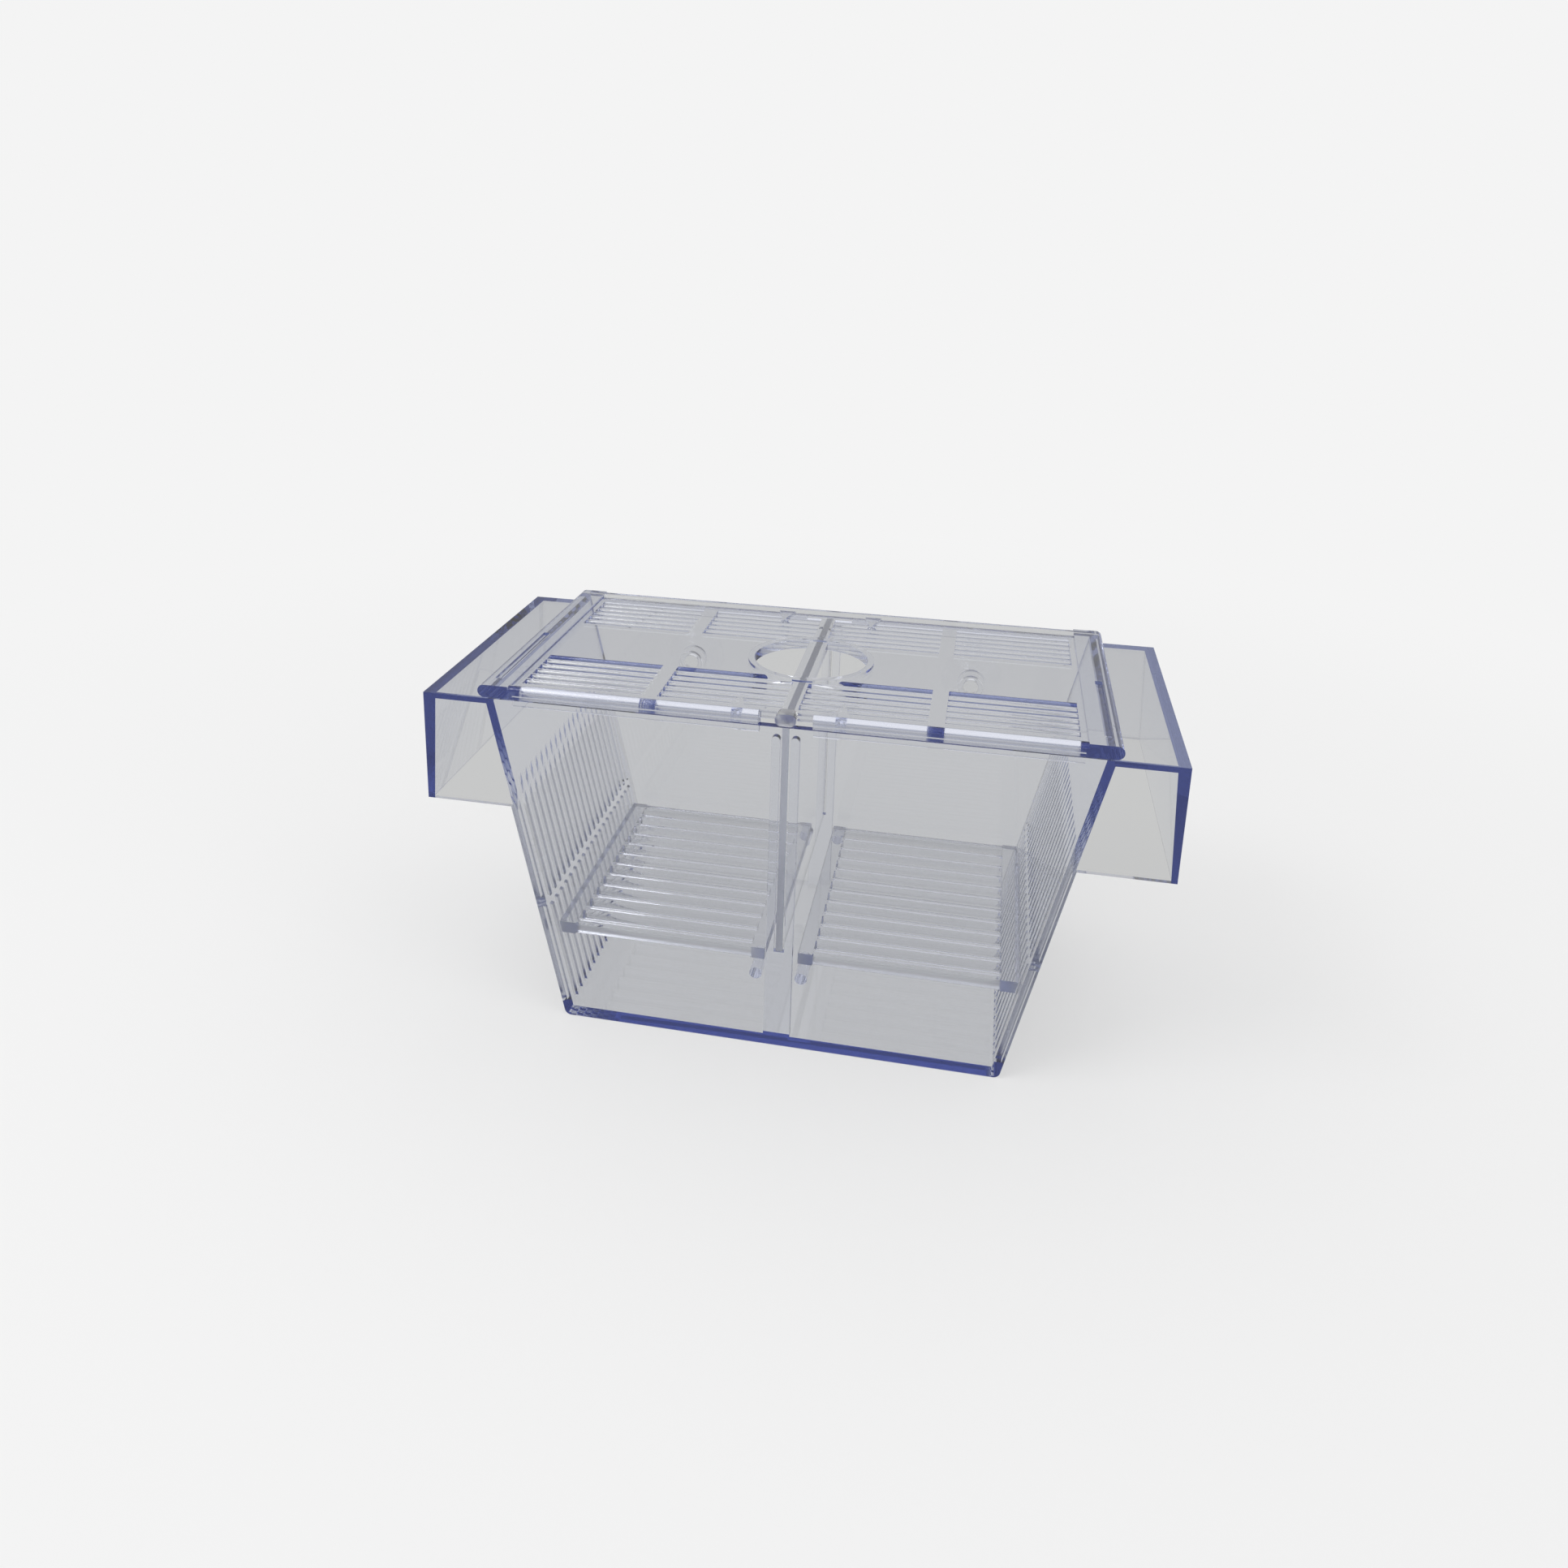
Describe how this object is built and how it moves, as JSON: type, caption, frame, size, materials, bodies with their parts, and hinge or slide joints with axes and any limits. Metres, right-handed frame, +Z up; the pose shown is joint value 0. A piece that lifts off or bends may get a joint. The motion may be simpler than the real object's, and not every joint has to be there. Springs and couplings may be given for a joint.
{
  "type": "fish breeding box",
  "caption": "Clear floating breeding tank with slit side walls, side float wings, vented lift-off lid, sliding divider, lift-out bottom gratings and suction cups.",
  "frame": {"origin": "middle of the flat underside of the tank's floor", "axes": "+X along the length to the right wing, +Y from the front wall to the back wall with the suction cups, +Z up"},
  "size_m": [0.21, 0.101, 0.104],
  "materials": {
    "clear_plastic": "clear, glossy, faint blue-violet tint",
    "soft_plastic": "clear, soft, satin"
  },
  "bodies": {
    "tank": {"tank": "clear_plastic"},
    "lid": {"lid": "clear_plastic"},
    "divider": {"divider": "clear_plastic"},
    "grating_left": {"grating_left": "clear_plastic"},
    "grating_right": {"grating_right": "clear_plastic"},
    "suction_cup_left": {"suction_cup_left": "soft_plastic"},
    "suction_cup_right": {"suction_cup_right": "soft_plastic"}
  },
  "joints": [
    {"name": "lid_lift", "type": "slide", "parent": "tank", "child": "lid", "axis": [0, 0, 1], "range_m": [0, 0.12]},
    {"name": "divider_lift", "type": "slide", "parent": "tank", "child": "divider", "axis": [0, 0, 1], "range_m": [0, 0.09]},
    {"name": "grating_left_lift", "type": "slide", "parent": "tank", "child": "grating_left", "axis": [0, 0, 1], "range_m": [0, 0.068]},
    {"name": "grating_right_lift", "type": "slide", "parent": "tank", "child": "grating_right", "axis": [0, 0, 1], "range_m": [0, 0.068]},
    {"name": "suction_cup_left_turn", "type": "hinge", "parent": "tank", "child": "suction_cup_left", "pos_m": [-0.048, 0.0458, 0.08], "axis": [0, 1, 0], "continuous": true},
    {"name": "suction_cup_right_turn", "type": "hinge", "parent": "tank", "child": "suction_cup_right", "pos_m": [0.048, 0.0458, 0.08], "axis": [0, 1, 0], "continuous": true}
  ],
  "couplings": [
    {"joint": "divider_lift", "follows": "lid_lift", "ratio": 0.75}
  ]
}
